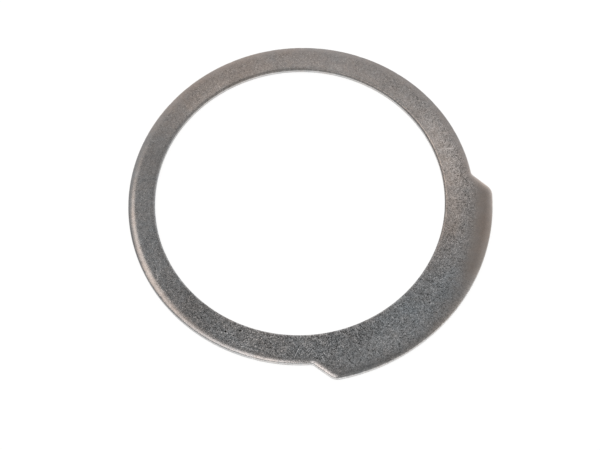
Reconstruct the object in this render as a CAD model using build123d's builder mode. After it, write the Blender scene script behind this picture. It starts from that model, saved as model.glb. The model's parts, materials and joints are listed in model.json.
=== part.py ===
from build123d import *
import os

# A flat stamped washer: a round ring with one wide lug, cut from thin steel sheet.
# Millimetres and degrees. The origin is the bore's centre on the lower face, +Z is up
# through the sheet, and +X runs out through the middle of the lug.

# Ring
sheet_thickness = 1.5
bore_radius = 35.0
ring_width = 6.75          # from the bore to the rim
rim_offset = 0.45          # the rim's centre lies this far from the bore's, towards the lug

# Lug
lug_reach = 4.35           # how far its curved end stands out beyond the rim
lug_root_angle = 47.5      # from the lug's middle line to the foot of each flank
flank_taper = 2.0          # how much each flank leans in towards the middle line
root_fillet = 1.5
tip_fillet = 3.0

# Upper edge of the outline, drawn down as the blank was cut: a shallow slope with blended ends
roll_width = 1.2
roll_drop = 0.35
roll_inner_blend = 5.0
roll_outer_blend = 0.3

# The other edges, tumbled smooth
bore_upper_round = 0.55
bore_lower_round = 0.12
outline_lower_round = 0.12

rim_radius = bore_radius + ring_width
lug_radius = rim_radius + lug_reach
rim_centre = Vector(rim_offset, 0)
lug_foot = rim_centre + Vector(rim_radius, 0).rotate(Axis.Z, lug_root_angle)
flank_end = lug_foot + Vector(lug_radius, 0).rotate(Axis.Z, -flank_taper)   # well past the lug's end
slope_foot_height = sheet_thickness - roll_drop


def from_rim_centre(vertex):
    return (Vector(vertex) - rim_centre).length


def upper_face():
    return washer.faces().sort_by(Axis.Z)[-1]


def lower_face():
    return washer.faces().sort_by(Axis.Z)[0]


def edges_at_height(height):
    return washer.edges().filter_by(lambda edge: abs(edge.center().Z - height) < 0.001)


with BuildPart() as washer:
    with BuildSketch() as outline:
        with BuildLine():
            half_lug = Polyline(rim_centre, lug_foot, flank_end, (flank_end.X, 0))
            mirror(half_lug, about=Plane.XZ)
        make_face()
        with Locations(rim_centre):
            Circle(lug_radius, mode=Mode.INTERSECT)
        fillet(outline.vertices().sort_by(from_rim_centre)[-2:], tip_fillet)
        with Locations(rim_centre):
            Circle(rim_radius)
        fillet(outline.vertices().sort_by(from_rim_centre)[:2], root_fillet)
    extrude(amount=sheet_thickness)
    Hole(bore_radius)

    chamfer(upper_face().outer_wire().edges(), roll_width, roll_drop, reference=upper_face())
    fillet(edges_at_height(slope_foot_height), roll_outer_blend)
    fillet(upper_face().outer_wire().edges(), roll_inner_blend)
    fillet(upper_face().inner_wires().edges(), bore_upper_round)
    fillet(lower_face().inner_wires().edges(), bore_lower_round)
    fillet(lower_face().outer_wire().edges(), outline_lower_round)

washer.part.label = "washer"

os.makedirs("parts", exist_ok=True)
export_step(washer.part, "parts/washer.step")

size = washer.part.bounding_box().size
print(f"washer: {size.X:.2f} x {size.Y:.2f} x {size.Z:.2f} mm, {washer.part.volume:.0f} mm3")
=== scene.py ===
import json
import math
import bpy
import numpy as np
from mathutils import Matrix, Vector


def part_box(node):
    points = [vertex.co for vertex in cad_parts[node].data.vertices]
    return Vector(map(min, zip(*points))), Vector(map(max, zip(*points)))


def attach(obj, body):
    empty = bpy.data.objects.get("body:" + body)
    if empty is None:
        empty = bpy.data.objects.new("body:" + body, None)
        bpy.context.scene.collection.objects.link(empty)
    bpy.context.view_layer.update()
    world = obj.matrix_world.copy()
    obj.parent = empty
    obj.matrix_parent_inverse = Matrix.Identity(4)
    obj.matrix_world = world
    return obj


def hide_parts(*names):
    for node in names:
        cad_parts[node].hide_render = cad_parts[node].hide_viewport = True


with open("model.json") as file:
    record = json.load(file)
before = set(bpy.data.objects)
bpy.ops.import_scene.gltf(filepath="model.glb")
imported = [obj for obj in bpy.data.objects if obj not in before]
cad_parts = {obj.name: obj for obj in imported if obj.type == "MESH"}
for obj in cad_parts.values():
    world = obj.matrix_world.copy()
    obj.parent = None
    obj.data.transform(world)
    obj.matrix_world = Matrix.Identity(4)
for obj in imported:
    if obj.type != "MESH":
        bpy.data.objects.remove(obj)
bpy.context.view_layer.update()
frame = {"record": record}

mm = 0.001

washer = {
    "node": "washer",
    "slot": "tumbled_steel",
    "lugRootAngle": math.radians(47.5),   # lug's middle line to the foot of a flank
    "flankTaper": math.radians(2.0),
    "rootFillet": 1.5 * mm,
    "tipFillet": 3.0 * mm,
    "rollWidth": 1.2 * mm,                # rolled upper edge of the outline
    "rollDrop": 0.35 * mm,
    "rollInnerBlend": 5.0 * mm,
    "rollOuterBlend": 0.3 * mm,
    "boreUpperRound": 0.55 * mm,
    "lowerRound": 0.12 * mm,
    "columns": 1600,                      # sections along the outline
    "faceRows": 7,
    "wallRows": 9,
    "lowerSteps": 4,                      # points round each edge of the section
    "rollOuterSteps": 7,
    "rollInnerSteps": 8,
    "boreUpperSteps": 8,
    "seed": 4,
    # small dents on the upper edges, from tumbling; each pushes its edge in, and down by a share of that
    "knocks": 80,
    "knockWidth": (0.15 * mm, 0.55 * mm),
    "knockDepth": (0.006 * mm, 0.035 * mm),
    "knockBias": 2.5,                     # higher leaves fewer deep ones
    "knockDrop": 0.5,
    "outerKnockReach": (0.6 * mm, 0.25 * mm),      # across and down the edge
    "boreKnockReach": (0.4 * mm, 0.2 * mm),
    "boreKnockShare": 0.5,                # the bore's dents are shallower
    # the wall below the shear line is torn, stands a little back and is uneven
    "shearLine": 0.52 * mm,
    "shearWander": 0.07 * mm,
    "shearBlend": 0.03 * mm,
    "tearDepth": 0.025 * mm,
    "tearUneven": 0.15,
    "shearWaves": [3, 7, 16, 41, 88],     # whole waves round the outline
    "tearWaves": [23, 41, 67, 109],
    # how the surface changes over the faces: paler, warmer, more scratched, partly its own patchy finish and
    # partly painted reflection, paler and warmer towards the far side and darker and cooler towards the near
    # side; the patches are bells about a bearing and a distance from the axis
    "plain": (1.0, 0.0, 0.30),
    "patches": [
        (55, 24, 36.0 * mm, 5.0 * mm, 0.62, 0.35, 0.0),
        (116, 45, 35.5 * mm, 5.0 * mm, 0.32, 0.35, 0.0),
        (169, 14, 35.6 * mm, 1.6 * mm, 0.35, 0.0, 0.0),
        (162, 24, 38.0 * mm, 9.0 * mm, 0.0, 0.75, 0.10),
        (201, 16, 38.0 * mm, 9.0 * mm, -0.16, 0.0, 0.0),
        (238, 24, 38.0 * mm, 9.0 * mm, -0.20, -0.35, 0.10),
        (268, 12, 38.0 * mm, 9.0 * mm, -0.20, 0.0, 0.0),
        (300, 45, 38.0 * mm, 9.0 * mm, -0.09, -0.36, 0.78),
        (328, 14, 36.0 * mm, 4.0 * mm, -0.11, 0.0, 0.2),
        (0, 24, 40.0 * mm, 9.0 * mm, -0.04, -0.55, 0.35),
        (24, 22, 36.5 * mm, 4.0 * mm, 0.05, 0.7, 0.0),
        (48, 34, 39.2 * mm, 3.2 * mm, 0.0, 0.0, 0.5),
        (26, 22, 44.4 * mm, 2.2 * mm, -0.12, 1.3, -0.65),
        (341, 9, 41.5 * mm, 3.0 * mm, 0.18, 0.0, 0.0),
        (358, 24, 46.2 * mm, 1.2 * mm, 0.0, 0.9, 0.0),
    ],
    # how the edges change round the ring, as bells: bearing, spread, change; on the outline's very edge and
    # on the walls the change is painted light and shade
    "limbWidth": 0.6 * mm,                # the outline's very edge
    # painted highlight on the outline's very edge, paler by the near side and the lug, and painted shade,
    # darker towards the far right and the left
    "limb": [(309, 38, 0.75), (92, 40, -0.18), (41, 9, 0.8), (229, 34, -0.25), (356, 20, 0.25)],
    # painted shade on the walls, darker about bearing 229
    "walls": [(229, 36, -0.45)],
    "boreRim": [(50, 34, 0.6), (251, 30, -0.7)],   # a higher rim is duller and darker
    "rollFade": 1.6,                      # the roll's finish fades out over this many roll widths
    "rollCalm": 0.8,                      # share of the strokes that the roll loses
    "rollStrokes": [(350, 32, -0.7)],     # less of them is lost here
    "leastScratched": 0.08,
}


def frameSizes(s):
    # the bore from its mount, the rest from the box: rim = half its width, offset and lug from its two ends
    low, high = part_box(s["node"])
    mounts = {m["name"]: m for m in frame["record"]["mounts"]}
    s["bore"] = mounts["bore"]["dims"]["r_mm"] * mm
    s["thickness"] = high[2]
    s["rim"] = (high[1] - low[1]) / 2
    s["offset"] = s["rim"] + low[0]
    s["lug"] = high[0] - s["offset"]


def outlineSegments(s):
    # lengths and curvatures of half the outline, from the lug's middle round to the rim's back:
    # each fillet's centre is one radius from the flank's line and one radius from the circle it meets
    foot = s["rim"] * np.array([math.cos(s["lugRootAngle"]), math.sin(s["lugRootAngle"])])
    out = np.array([math.sin(s["flankTaper"]), math.cos(s["flankTaper"])])      # the flank's outward normal
    along = np.array([out[1], -out[0]])
    height = foot @ out
    tipFar = math.sqrt((s["lug"] - s["tipFillet"]) ** 2 - (height - s["tipFillet"]) ** 2)
    rootFar = math.sqrt((s["rim"] + s["rootFillet"]) ** 2 - (height + s["rootFillet"]) ** 2)
    tip = along * tipFar + out * (height - s["tipFillet"])
    root = along * rootFar + out * (height + s["rootFillet"])
    lugTurn = math.atan2(tip[1], tip[0])
    rimTurn = math.atan2(root[1], root[0])
    flankHeading = math.pi / 2 - s["flankTaper"]
    return [
        (s["lug"] * lugTurn, 1 / s["lug"]),
        (s["tipFillet"] * (flankHeading - lugTurn), 1 / s["tipFillet"]),
        (tipFar - rootFar, 0.0),
        (s["rootFillet"] * (flankHeading - rimTurn), -1 / s["rootFillet"]),
        (s["rim"] * (math.pi - rimTurn), 1 / s["rim"]),
    ]


def outline(s, count):
    # a closed path of arcs and lines: heading turns by curvature times length, and the place follows
    half = outlineSegments(s)
    segments = half + half[::-1]
    starts, place, heading = [], np.array([s["offset"] + s["lug"], 0.0]), math.pi / 2
    for length, bend in segments:
        starts.append((place[0], place[1], heading, bend))
        turned = heading + bend * length
        if bend:
            place = place + np.array([math.sin(turned) - math.sin(heading),
                                      math.cos(heading) - math.cos(turned)]) / bend
        else:
            place = place + length * np.array([math.cos(heading), math.sin(heading)])
        heading = turned
    starts = np.array(starts)
    ends = np.cumsum([length for length, bend in segments])
    at = (np.arange(count) + 0.5) * ends[-1] / count
    which = np.searchsorted(ends, at)
    x, y, h, k = starts[which].T
    run = at - np.concatenate([[0.0], ends])[which]
    turned = h + k * run
    curved = np.where(k == 0, 1.0, k)
    px = x + np.where(k == 0, run * np.cos(h), (np.sin(turned) - np.sin(h)) / curved)
    py = y + np.where(k == 0, run * np.sin(h), (np.cos(h) - np.cos(turned)) / curved)
    inward = np.stack([-np.sin(turned), np.cos(turned)], 1)
    return np.stack([px, py], 1), inward, at, ends[-1]


def roundedCorner(before, corner, after, radius, steps):
    # an arc tangent to the two sides that meet at the corner
    a = (before - corner) / np.linalg.norm(before - corner)
    b = (after - corner) / np.linalg.norm(after - corner)
    halfAngle = math.acos(np.clip(a @ b, -1, 1)) / 2
    reach = radius / math.tan(halfAngle)
    middle = (a + b) / np.linalg.norm(a + b)
    centre = corner + middle * radius / math.sin(halfAngle)
    first, last = corner + a * reach - centre, corner + b * reach - centre
    sweep = np.linspace(0, 1, steps)[:, None]
    total = math.pi - 2 * halfAngle
    return centre + (np.sin((1 - sweep) * total) * first + np.sin(sweep * total) * last) / math.sin(total)


def wallPoints(s, low, high):
    # evenly up the wall, without its two ends, which belong to the rounds
    z = np.linspace(low, high, s["wallRows"] + 2)[1:-1]
    return np.stack([np.zeros(len(z)), z], 1)


def section(s):
    # points of the two sides, each an inset from its edge and a height: the outer side runs up from the
    # lower face and the bore's runs down from the upper face
    t = s["thickness"]
    bottom, top, inside = np.array([0.0, 0.0]), np.array([0.0, t]), np.array([1.0, 0.0])
    foot, head = np.array([0.0, t - s["rollDrop"]]), np.array([s["rollWidth"], t])
    outer = [
        roundedCorner(bottom + inside, bottom, foot, s["lowerRound"], s["lowerSteps"]),
        wallPoints(s, s["lowerRound"], t - s["rollDrop"] - s["rollOuterBlend"]),
        roundedCorner(bottom, foot, head, s["rollOuterBlend"], s["rollOuterSteps"]),
        roundedCorner(foot, head, top + inside, s["rollInnerBlend"], s["rollInnerSteps"]),
    ]
    bore = [
        roundedCorner(top + inside, top, bottom, s["boreUpperRound"], s["boreUpperSteps"]),
        wallPoints(s, s["lowerRound"], t - s["boreUpperRound"])[::-1],
        roundedCorner(top, bottom, bottom + inside, s["lowerRound"], s["lowerSteps"]),
    ]
    return outer, bore


def lump(x, centre, spread, period):
    # a bell of height 1 about centre, on a loop of the given period
    away = (x - centre + period / 2) % period - period / 2
    return np.exp(-(away / spread) ** 2)


def wander(random, x, period, waves):
    # a closed uneven line between about -1 and 1: a sum of whole waves round the loop
    count = len(waves)
    phase = random.uniform(0, 2 * math.pi, count)
    size = random.uniform(0.5, 1.0, count)
    line = (np.sin(2 * math.pi * x[:, None] / period * np.array(waves) + phase) * size).sum(1)
    return line / np.abs(line).max()


def knocks(s, random, at, period):
    # depth of the small dents along an edge, as a sum of bells
    shallow, deep = s["knockDepth"]
    centres = random.uniform(0, period, s["knocks"])
    widths = random.uniform(*s["knockWidth"], s["knocks"])
    depths = shallow + (deep - shallow) * random.uniform(0, 1, s["knocks"]) ** s["knockBias"]
    return (lump(at[:, None], centres, widths, period) * depths).sum(1).clip(0, deep)


def around(turn, places):
    # a sum of bells round the ring, each with its bearing, spread and height
    return sum(lump(turn, bearing, spread, 360) * height for bearing, spread, height in places)


def finishAndPaintedLightMasks(s, xy, outer, outerKind, bore, boreKind):
    # how much each row belongs to the walls, the rolled edge, the bore's upper round and the outline's very
    # edge, and from that and the patches how pale, warm and scratched each point is, the paleness and warmth
    # being partly painted reflection, highlight and shade; the parts of every row list run from the outer
    # side over the upper face and down the bore to the lower face
    face, noOuter, noBore = np.zeros(s["faceRows"] - 1), np.zeros(len(outer)), np.zeros(len(bore))
    roll = (1 - np.clip(outer[:, 0] / (s["rollWidth"] * s["rollFade"]), 0, 1) ** 2) * (outerKind >= 2)
    rim = (1 - np.clip(bore[:, 0] / s["boreUpperRound"], 0, 1)) * (boreKind == 0)
    limb = np.exp(-(outer[:, 0] / s["limbWidth"]) ** 2) * (outerKind >= 2)
    rows = {
        "wall": [(outerKind == 1) * 1.0, face, (boreKind == 1) * 1.0, face],
        "roll": [roll, face, noBore, face],
        "rim": [noOuter, face, rim, face],
        "limb": [limb, face, noBore, face],
    }
    whole = [np.concatenate(parts)[:, None] for parts in rows.values()]
    wall, roll, rim, limb = [np.repeat(column, xy.shape[1], 1) for column in whole]

    turn = np.degrees(np.arctan2(xy[..., 1], xy[..., 0]))
    reach = np.hypot(xy[..., 0], xy[..., 1])
    pale, warm, scratched = [np.full(xy.shape[:2], plain) for plain in s["plain"]]
    for bearing, spread, radius, radialSpread, paler, warmer, rougher in s["patches"]:
        bell = lump(turn, bearing, spread, 360) * lump(reach, radius, radialSpread, 1.0)
        pale += bell * paler
        warm += bell * warmer
        scratched += bell * rougher

    # the patches stay off the edges, and bells round the ring paint shade and highlight on the walls and the
    # outline's very edge
    edges = np.maximum.reduce([roll, wall, rim])
    pale = 1 + (pale - 1) * (1 - edges) + wall * around(turn, s["walls"]) + limb * around(turn, s["limb"])
    warm = warm * (1 - wall) * np.where(warm < 0, 1 - roll, 1.0)
    calm = s["rollCalm"] * roll * (1 + around(turn, s["rollStrokes"]))
    scratched = scratched.clip(s["leastScratched"]) * (1 - calm) * (1 - wall)
    rim = rim * (1 + around(turn, s["boreRim"]))
    return {"wall": wall, "rim": rim, "pale": pale, "warm": warm, "scratched": scratched}


def edgeShare(rows, height, reach):
    # how far a knock at the given height moves each row of a section
    across, down = reach
    return (np.exp(-((rows[:, 1] - height) / down) ** 2) * np.exp(-(rows[:, 0] / across) ** 2))[:, None]


def washerSurface(s):
    # the section carried round the outline: outer rows follow its inward normal, bore rows the bore's
    # radius, and the rows of both faces lie evenly between the two
    random = np.random.default_rng(s["seed"])
    edge, inward, at, period = outline(s, s["columns"])
    outer, bore = section(s)
    outerKind = np.concatenate([np.full(len(p), i) for i, p in enumerate(outer)])      # 1 wall, 2 and 3 roll
    boreKind = np.concatenate([np.full(len(p), i) for i, p in enumerate(bore)])        # 1 wall, 0 upper round
    outer, bore = np.concatenate(outer), np.concatenate(bore)
    outerInset, outerZ = [np.repeat(a[:, None], len(at), 1) for a in outer.T]
    boreInset, boreZ = [np.repeat(a[:, None], len(at), 1) for a in bore.T]

    # knocks push the upper edges in and down, the most where each edge is sharpest
    outerKnock = knocks(s, random, at, period)
    boreKnock = knocks(s, random, at, period) * s["boreKnockShare"]
    outerShare = edgeShare(outer, s["thickness"] - s["rollDrop"], s["outerKnockReach"])
    boreShare = edgeShare(bore, s["thickness"] - s["boreUpperRound"] / 4, s["boreKnockReach"])
    outerInset += outerShare * outerKnock
    outerZ -= outerShare * outerKnock * s["knockDrop"]
    boreInset += boreShare * boreKnock
    boreZ -= boreShare * boreKnock * s["knockDrop"]

    # below a ragged line the wall is torn rather than sheared, and stands a little back
    line = s["shearLine"] + s["shearWander"] * wander(random, at, period, s["shearWaves"])
    uneven = wander(random, at, period, s["tearWaves"])
    depth = s["tearDepth"] * (1 + s["tearUneven"] * (uneven - 1))
    for kind, inset, z in ((outerKind, outerInset, outerZ), (boreKind, boreInset, boreZ)):
        inset += (kind == 1)[:, None] * depth / (1 + np.exp((z - line) / s["shearBlend"]))

    outerXY = edge[None] + inward[None] * outerInset[..., None]
    bearing = np.arctan2(outerXY[-1, :, 1], outerXY[-1, :, 0])
    ray = np.stack([np.cos(bearing), np.sin(bearing)], 1)
    boreXY = ray[None] * (s["bore"] + boreInset)[..., None]
    share = (np.arange(1, s["faceRows"]) / s["faceRows"])[:, None, None]
    upperXY = outerXY[-1] * (1 - share) + boreXY[0] * share
    lowerXY = boreXY[-1] * (1 - share) + outerXY[0] * share
    flat = np.ones((s["faceRows"] - 1, len(at)))
    xy = np.concatenate([outerXY, upperXY, boreXY, lowerXY])
    z = np.concatenate([outerZ, flat * s["thickness"], boreZ, flat * 0])
    return np.dstack([xy, z]), finishAndPaintedLightMasks(s, xy, outer, outerKind, bore, boreKind)


def gridMesh(name, points, masks):
    # rows and columns both close on themselves, so the skin is a ring with no border
    rows, columns = points.shape[:2]
    r, c = np.meshgrid(np.arange(rows), np.arange(columns), indexing="ij")
    rn, cn = (r + 1) % rows, (c + 1) % columns
    corners = [r * columns + c, r * columns + cn, rn * columns + cn, rn * columns + c]
    quads = np.stack(corners, -1).reshape(-1, 4)
    mesh = bpy.data.meshes.new(name)
    mesh.vertices.add(rows * columns)
    mesh.vertices.foreach_set("co", points.reshape(-1).astype(np.float32))
    mesh.loops.add(quads.size)
    mesh.loops.foreach_set("vertex_index", quads.reshape(-1).astype(np.int32))
    mesh.polygons.add(len(quads))
    mesh.polygons.foreach_set("loop_start", np.arange(len(quads), dtype=np.int32) * 4)
    mesh.polygons.foreach_set("use_smooth", np.ones(len(quads), dtype=bool))
    for key, values in masks.items():
        layer = mesh.attributes.new(key, "FLOAT", "POINT")
        layer.data.foreach_set("value", values.reshape(-1).astype(np.float32))
    mesh.update()
    mesh.validate()
    return mesh


frameSizes(washer)
points, masks = washerSurface(washer)
mesh = gridMesh("washerSkin", points, masks)
body = bpy.data.objects.new("stamped_washer", mesh)
bpy.context.scene.collection.objects.link(body)
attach(body, "root")
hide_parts(washer["node"])
print("washer:", len(mesh.polygons) * 2, "triangles")


def feed(tree, socket, value):
    # a socket takes a value, or the output that feeds it
    if isinstance(value, bpy.types.NodeSocket):
        tree.links.new(value, socket)
    else:
        socket.default_value = value


def addNode(tree, kind, inputs=None, **settings):
    # one node with its settings and its inputs
    node = tree.nodes.new("ShaderNode" + kind)
    for name, value in settings.items():
        setattr(node, name, value)
    for key, value in (inputs or {}).items():
        feed(tree, node.inputs[key], value)
    return node


def calc(tree, operation, a, b=0.0, c=0.0):
    return addNode(tree, "Math", {0: a, 1: b, 2: c}, operation=operation).outputs[0]


def vectorCalc(tree, operation, a, b=(0, 0, 0)):
    node = addNode(tree, "VectorMath", {0: a}, operation=operation)
    feed(tree, node.inputs["Scale" if operation == "SCALE" else 1], b)
    return node.outputs[0]


def fade(tree, value, start, end):
    # 1 up to start, 0 from end on, smooth between
    inputs = {"Value": value, "From Min": start, "From Max": end, "To Min": 1.0, "To Max": 0.0}
    return addNode(tree, "MapRange", inputs, interpolation_type="SMOOTHSTEP").outputs[0]


def noise(tree, place, size, detail):
    return addNode(tree, "TexNoise", {"Vector": place, "Scale": 1 / size, "Detail": detail}).outputs


def shaded(tree, tone, share, change):
    # the tone, changed by that share of itself
    return calc(tree, "MULTIPLY", tone, calc(tree, "MULTIPLY_ADD", share, change, 1.0))


def newGroup(name, inputs, outputs):
    group = bpy.data.node_groups.new(name, "ShaderNodeTree")
    for label, kind in inputs:
        group.interface.new_socket(name=label, in_out="INPUT", socket_type="NodeSocket" + kind)
    for label, kind in outputs:
        group.interface.new_socket(name=label, in_out="OUTPUT", socket_type="NodeSocket" + kind)
    return group, group.nodes.new("NodeGroupInput").outputs, group.nodes.new("NodeGroupOutput").inputs


def strokesGroup():
    # one short bent stroke in each cell of a random lattice: the place within the cell is turned by the
    # cell's own angle and bent by a parabola, then masked by its distance from the stroke's line and from
    # its ends; half the strokes are positive and half negative, and a higher Sparse leaves fewer strong ones
    group, given, out = newGroup("strokes", [("Vector", "Vector"), ("Cell", "Float"), ("Width", "Float"),
                                             ("Length", "Float"), ("Bend", "Float"), ("Sparse", "Float"),
                                             ("Shift", "Vector")],
                                 [("Stroke", "Float")])
    place = vectorCalc(group, "SCALE", given["Vector"], calc(group, "DIVIDE", 1.0, given["Cell"]))
    place = vectorCalc(group, "ADD", place, given["Shift"])
    cells = addNode(group, "TexVoronoi", {"Vector": place, "Scale": 1.0}, voronoi_dimensions="2D")
    chance = addNode(group, "SeparateColor", {0: cells.outputs["Color"]})
    local = vectorCalc(group, "SUBTRACT", place, cells.outputs["Position"])
    angle = calc(group, "MULTIPLY", chance.outputs[0], 2 * math.pi)
    turned = addNode(group, "VectorRotate", {"Vector": local, "Angle": angle}, rotation_type="Z_AXIS")
    axes = addNode(group, "SeparateXYZ", {0: turned.outputs[0]})
    x, y = axes.outputs[0], axes.outputs[1]
    bend = calc(group, "MULTIPLY", calc(group, "SUBTRACT", chance.outputs[1], 0.5), given["Bend"])
    y = calc(group, "MULTIPLY_ADD", calc(group, "MULTIPLY", x, x), bend, y)
    across = fade(group, calc(group, "ABSOLUTE", y), 0.0, given["Width"])
    halfLength = calc(group, "MULTIPLY", given["Length"], 0.5)
    ends = fade(group, calc(group, "ABSOLUTE", x), halfLength, given["Length"])
    sign = calc(group, "MULTIPLY_ADD", chance.outputs[2], 2.0, -1.0)
    sign = calc(group, "MULTIPLY", sign, calc(group, "POWER", calc(group, "ABSOLUTE", sign), given["Sparse"]))
    stroke = calc(group, "MULTIPLY", calc(group, "MULTIPLY", across, ends), sign)
    group.links.new(stroke, out["Stroke"])
    return group


steel = {
    "faceColour": (0.365, 0.363, 0.362),
    # the walls' colour is much paler than the faces': painted reflection brightness on the same steel
    "wallColour": (0.68, 0.665, 0.655),
    "warmth": (0.11, 0.0, -0.08),          # what warm 1 adds to each channel's share
    "roughness": 0.24,
    # the bore's rounded upper edge is darker and duller
    "rimTone": -0.30,
    "rimRoughness": 0.25,
    # layers of tumbling strokes: cell, then width, length and bend in cells, then sparseness and weight
    "strokes": [
        (0.30 * mm, 0.24, 0.55, 0.5, 0.0, 1.7),
        (0.42 * mm, 0.19, 0.60, 0.4, 0.0, 1.6),
        (0.60 * mm, 0.14, 0.70, 0.4, 0.0, 1.2),
        (0.90 * mm, 0.095, 0.80, 0.3, 0.5, 0.8),
        (1.60 * mm, 0.055, 0.85, 0.25, 1.0, 0.8),
        (3.40 * mm, 0.028, 0.80, 0.15, 3.0, 1.6),
    ],
    "strokeTone": 0.95,
    "strokeRoughness": 0.06,
    "grainSize": 0.16 * mm,
    "grainTone": 2.2,
    "grainRelief": 0.8,
    "blotches": [(1.1 * mm, 0.18), (4.5 * mm, 0.22), (13.0 * mm, 0.15)],   # size and tone
    "blotchTint": 0.8,
    "bumpHeight": 0.004 * mm,
    # dark pits: bearing, distance from the axis, radius
    "pits": [(-73.1, 36.6 * mm, 0.42 * mm), (-77.8, 38.2 * mm, 0.36 * mm), (-77.6, 37.5 * mm, 0.22 * mm)],
    "pitCore": 0.4,                        # the fully dark share of the radius
    "pitTone": -0.9,
    "pitRoughness": 0.3,
    "pitRelief": -2.0,
    # the torn part of a wall, below a soft height, and the broken dark line where it starts
    "tornHeight": (0.45 * mm, 0.62 * mm),
    "tornTone": -0.12,
    "tornRoughness": 0.22,
    "lineHeight": 0.42 * mm,
    "lineWander": 0.28 * mm,
    "lineWave": 1.4 * mm,
    "lineHalfWidth": (0.03 * mm, 0.10 * mm),
    "lineTone": -0.45,
    # faint bands along the walls
    "bandLength": 2.2 * mm,
    "bandSquash": 18,
    "bandTone": 1.1,
}


def steelMaterial(s):
    material = bpy.data.materials.new("tumbledSteel")
    material.use_nodes = True
    tree = material.node_tree
    shader = tree.nodes["Principled BSDF"]
    shader.inputs["Metallic"].default_value = 1.0
    place = addNode(tree, "TexCoord").outputs["Object"]
    flat = vectorCalc(tree, "MULTIPLY", place, (1, 1, 0))
    height = addNode(tree, "SeparateXYZ", {0: place}).outputs[2]
    mask = {key: addNode(tree, "Attribute", attribute_name=key).outputs["Fac"]
            for key in ("wall", "rim", "pale", "warm", "scratched")}

    # tumbling strokes of several sizes, all in random directions
    group = strokesGroup()
    strokes = 0.0
    for i, (cell, width, length, bend, sparse, weight) in enumerate(s["strokes"]):
        shift = (17.3 * i + 3.1, 9.7 * i + 5.9, 0)      # every layer takes another stretch of the lattice
        values = {"Vector": place, "Cell": cell, "Width": width, "Length": length, "Bend": bend,
                  "Sparse": sparse, "Shift": shift}
        layer = addNode(tree, "Group", node_tree=group)
        for key, value in values.items():
            feed(tree, layer.inputs[key], value)
        strokes = calc(tree, "MULTIPLY_ADD", layer.outputs["Stroke"], weight, strokes)
    strokes = calc(tree, "MULTIPLY", strokes, mask["scratched"])

    # fine grain between the strokes, then soft blotches
    grain = calc(tree, "SUBTRACT", noise(tree, place, s["grainSize"], 1.0)[0], 0.5)
    grain = calc(tree, "MULTIPLY", grain, mask["scratched"])
    tone = calc(tree, "MULTIPLY_ADD", strokes, s["strokeTone"], 1.0)
    tone = calc(tree, "MULTIPLY_ADD", grain, s["grainTone"], tone)
    warm = mask["warm"]
    for size, strength in s["blotches"]:
        cloud = noise(tree, place, size, 2.0)
        tone = calc(tree, "MULTIPLY_ADD", calc(tree, "SUBTRACT", cloud[0], 0.5), strength, tone)
        tint = addNode(tree, "SeparateColor", {0: cloud["Color"]}).outputs[2]
        warm = calc(tree, "MULTIPLY_ADD", calc(tree, "SUBTRACT", tint, 0.5), s["blotchTint"], warm)
    # pale brings the patches' painted reflection and the edges' painted highlight and shade into the tone
    tone = calc(tree, "MULTIPLY", tone, mask["pale"])

    # pits: dark, rough and sunk
    pits = 0.0
    for bearing, radius, size in s["pits"]:
        turn = math.radians(bearing)
        centre = (radius * math.cos(turn), radius * math.sin(turn), 0)
        away = addNode(tree, "VectorMath", {0: flat, 1: centre}, operation="DISTANCE").outputs["Value"]
        pits = calc(tree, "MAXIMUM", fade(tree, away, size * s["pitCore"], size), pits)
    tone = shaded(tree, tone, pits, s["pitTone"])

    # on the walls the torn part is darker, with the dark line above it and bands along both
    ragged = noise(tree, flat, s["lineWave"], 3.0)[0]
    line = calc(tree, "MULTIPLY_ADD", ragged, s["lineWander"], s["lineHeight"])
    away = calc(tree, "ABSOLUTE", calc(tree, "SUBTRACT", height, line))
    line = calc(tree, "MULTIPLY", fade(tree, away, *s["lineHalfWidth"]), mask["wall"])
    torn = calc(tree, "MULTIPLY", fade(tree, height, *s["tornHeight"]), mask["wall"])
    squashed = vectorCalc(tree, "MULTIPLY", place, (1, 1, s["bandSquash"]))
    bands = calc(tree, "SUBTRACT", noise(tree, squashed, s["bandLength"], 3.0)[0], 0.5)
    bands = calc(tree, "MULTIPLY", bands, mask["wall"])
    tone = shaded(tree, tone, line, s["lineTone"])
    tone = shaded(tree, tone, torn, s["tornTone"])
    tone = shaded(tree, tone, bands, s["bandTone"])
    tone = shaded(tree, tone, mask["rim"], s["rimTone"])

    # the walls take their paler colour, a painted reflection
    ends = {"Factor": mask["wall"], 6: (*s["faceColour"], 1), 7: (*s["wallColour"], 1)}
    colour = addNode(tree, "Mix", ends, data_type="RGBA").outputs[2]
    # warm brings the patches' warmth, partly painted warm and cool reflection, and the blotches' own tint
    tint = vectorCalc(tree, "ADD", vectorCalc(tree, "SCALE", s["warmth"], warm), (1, 1, 1))
    colour = vectorCalc(tree, "MULTIPLY", colour, tint)
    tree.links.new(vectorCalc(tree, "SCALE", colour, tone), shader.inputs["Base Color"])

    roughness = calc(tree, "MULTIPLY_ADD", torn, s["tornRoughness"], s["roughness"])
    roughness = calc(tree, "MULTIPLY_ADD", mask["rim"], s["rimRoughness"], roughness)
    roughness = calc(tree, "MULTIPLY_ADD", calc(tree, "ABSOLUTE", strokes), s["strokeRoughness"], roughness)
    roughness = calc(tree, "MULTIPLY_ADD", pits, s["pitRoughness"], roughness)
    tree.links.new(roughness, shader.inputs["Roughness"])

    relief = calc(tree, "MULTIPLY_ADD", grain, s["grainRelief"], strokes)
    relief = calc(tree, "MULTIPLY_ADD", pits, s["pitRelief"], relief)
    bump = addNode(tree, "Bump", {"Height": relief, "Distance": s["bumpHeight"], "Strength": 1.0})
    tree.links.new(bump.outputs[0], shader.inputs["Normal"])
    return material


mesh.materials.append(steelMaterial(steel))
print("steel ready")


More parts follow.
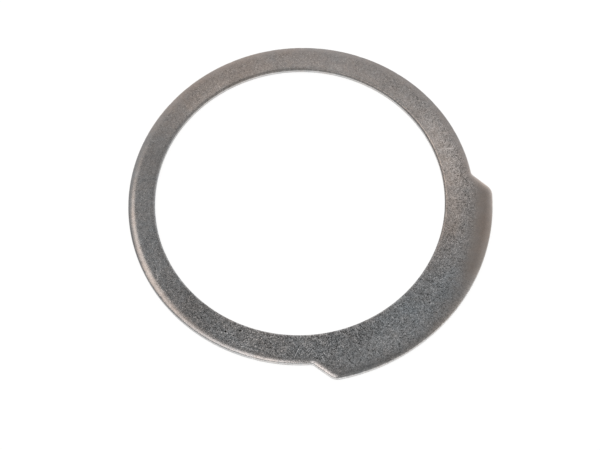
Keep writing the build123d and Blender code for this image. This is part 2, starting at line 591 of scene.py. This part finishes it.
stage = {
    "azimuth": math.radians(41.44),
    "elevation": math.radians(65.78),
    "roll": math.radians(-2.79),
    "distance": 0.363,
    "aim": (-0.0002133, 0.0170067),   # slopes, right and up, at which the camera sees the origin
    "lens": 90.0,
    "sensor": 36.0,
    "clip": (0.01, 50.0),
    # softboxes: direction from the camera's side (right, away, up), distance, size, turn, radiance, colour
    "lamps": {
        "key": ((-0.455, 0.205, 0.867), 1.2, (0.34, 0.62), -28, 1.9, (1.0, 0.82, 0.71)),
        "front": ((-0.285, -0.24, 0.928), 1.2, (0.26, 0.60), 55, 1.75, (1.0, 0.91, 0.87)),
    },
    "floorSize": 4.0,
    "floorTone": 0.85,                # how pale it is for the light it bounces
    "floorGlow": 0.88,                # for the camera and the metal: its own light
    "floorLit": 0.25,                 # and how much it takes of the lamps, and so of the shadow
    # the dome: grey by height, and a tint by how far round to the far side
    "dome": [(0.0, 1.0), (0.3, 0.95), (0.60, 0.72), (0.87, 0.54), (0.93, 0.41), (1.0, 0.40)],
    "farSide": (0.33, 0.95, 0),
    "farTint": [
        (0.0, (0.6, 0.6, 0.6)),
        (0.2, (1.0, 1.0, 1.0)),
        (0.37, (1.0, 1.0, 1.0)),
        (0.46, (1.03, 0.96, 0.925)),
        (1.0, (1.03, 0.96, 0.93)),
    ],
}


def makeCamera(s):
    data = bpy.data.cameras.new("camera")
    data.lens = s["lens"]
    data.sensor_width = s["sensor"]
    data.clip_start, data.clip_end = s["clip"]
    camera = bpy.data.objects.new("camera", data)
    bpy.context.scene.collection.objects.link(camera)
    # stand back from the origin along azimuth and elevation, look at it, roll about the line of sight,
    # and last turn so that the origin is seen off the middle by aim
    a, e = s["azimuth"], s["elevation"]
    back = Vector((math.sin(a) * math.cos(e), -math.cos(a) * math.cos(e), math.sin(e)))
    right = Vector((math.cos(a), math.sin(a), 0))
    axes = Matrix((right, back.cross(right), back)).transposed()
    turn = Vector((*s["aim"], -1)).rotation_difference(Vector((0, 0, -1))).to_matrix()
    rolled = axes @ Matrix.Rotation(s["roll"], 3, "Z") @ turn
    camera.matrix_world = Matrix.Translation(back * s["distance"]) @ rolled.to_4x4()
    bpy.context.scene.camera = camera


def fromCamera(x, y, z):
    # the camera's own ground directions: x to its right, y straight away from it
    a = stage["azimuth"]
    return Vector((x * math.cos(a) - y * math.sin(a), x * math.sin(a) + y * math.cos(a), z))


def softbox(name, direction, distance, size, turn, radiance, colour):
    # a rectangle facing the origin; its power is radiance times pi times its area
    light = bpy.data.lights.new(name, "AREA")
    light.shape = "RECTANGLE"
    light.size, light.size_y = size
    light.energy = radiance * math.pi * size[0] * size[1]
    light.color = colour
    lamp = bpy.data.objects.new(name, light)
    back = fromCamera(*direction).normalized()
    side = fromCamera(0, 1, 0).cross(back).normalized()
    axes = Matrix((side, back.cross(side), back)).transposed() @ Matrix.Rotation(math.radians(turn), 3, "Z")
    lamp.matrix_world = Matrix.Translation(back * distance) @ axes.to_4x4()
    bpy.context.scene.collection.objects.link(lamp)


def makeFloor(s):
    # plain pale floor; what the camera and the metal see of it is white, less the washer's soft shadow
    half = s["floorSize"] / 2
    corners = [(-half, -half, 0), (half, -half, 0), (half, half, 0), (-half, half, 0)]
    mesh = bpy.data.meshes.new("floor")
    mesh.from_pydata(corners, [], [(0, 1, 2, 3)])
    floor = bpy.data.objects.new("floor", mesh)
    bpy.context.scene.collection.objects.link(floor)
    material = bpy.data.materials.new("floor")
    material.use_nodes = True
    tree = material.node_tree
    tree.nodes.clear()
    plain = addNode(tree, "BsdfDiffuse", {"Color": (*[s["floorTone"]] * 3, 1)}).outputs[0]
    glow = addNode(tree, "Emission", {"Color": (1, 1, 1, 1), "Strength": s["floorGlow"]}).outputs[0]
    lit = addNode(tree, "BsdfDiffuse", {"Color": (*[s["floorLit"]] * 3, 1)}).outputs[0]
    shown = addNode(tree, "AddShader", {0: glow, 1: lit}).outputs[0]
    path = addNode(tree, "LightPath").outputs
    seen = calc(tree, "MAXIMUM", path["Is Camera Ray"], path["Is Glossy Ray"])
    seen = calc(tree, "MAXIMUM", seen, path["Is Transmission Ray"])
    mixed = addNode(tree, "MixShader", {0: seen, 1: plain, 2: shown}).outputs[0]
    addNode(tree, "OutputMaterial", {"Surface": mixed})
    mesh.materials.append(material)


def ramp(tree, factor, stops):
    node = addNode(tree, "ValToRGB", {0: factor})
    elements = node.color_ramp.elements
    elements.remove(elements[1])
    elements[0].position, elements[0].color = stops[0][0], (*stops[0][1], 1)
    for place, colour in stops[1:]:
        elements.new(place).color = (*colour, 1)
    return node.outputs[0]


def makeWorld(s):
    # white at the horizon and greyer overhead, a little warm on the far side; plain white for the camera
    world = bpy.data.worlds.new("studio")
    bpy.context.scene.world = world
    world.use_nodes = True
    tree = world.node_tree
    place = addNode(tree, "TexCoord").outputs["Generated"]
    up = addNode(tree, "SeparateXYZ", {0: place}).outputs[2]
    far = addNode(tree, "VectorMath", {0: place, 1: fromCamera(*s["farSide"])}, operation="DOT_PRODUCT")
    dome = ramp(tree, up, [(stop, (grey, grey, grey)) for stop, grey in s["dome"]])
    tinted = vectorCalc(tree, "MULTIPLY", dome, ramp(tree, far.outputs["Value"], s["farTint"]))
    seen = addNode(tree, "LightPath").outputs["Is Camera Ray"]
    shown = addNode(tree, "Mix", {"Factor": seen, 6: tinted, 7: (1, 1, 1, 1)}, data_type="RGBA").outputs[2]
    background = tree.nodes["Background"]
    tree.links.new(shown, background.inputs["Color"])
    background.inputs["Strength"].default_value = 1.0


makeCamera(stage)
makeFloor(stage)
makeWorld(stage)
for name, settings in stage["lamps"].items():
    softbox(name, *settings)
bpy.context.scene.view_settings.view_transform = "Standard"
print("stage ready")
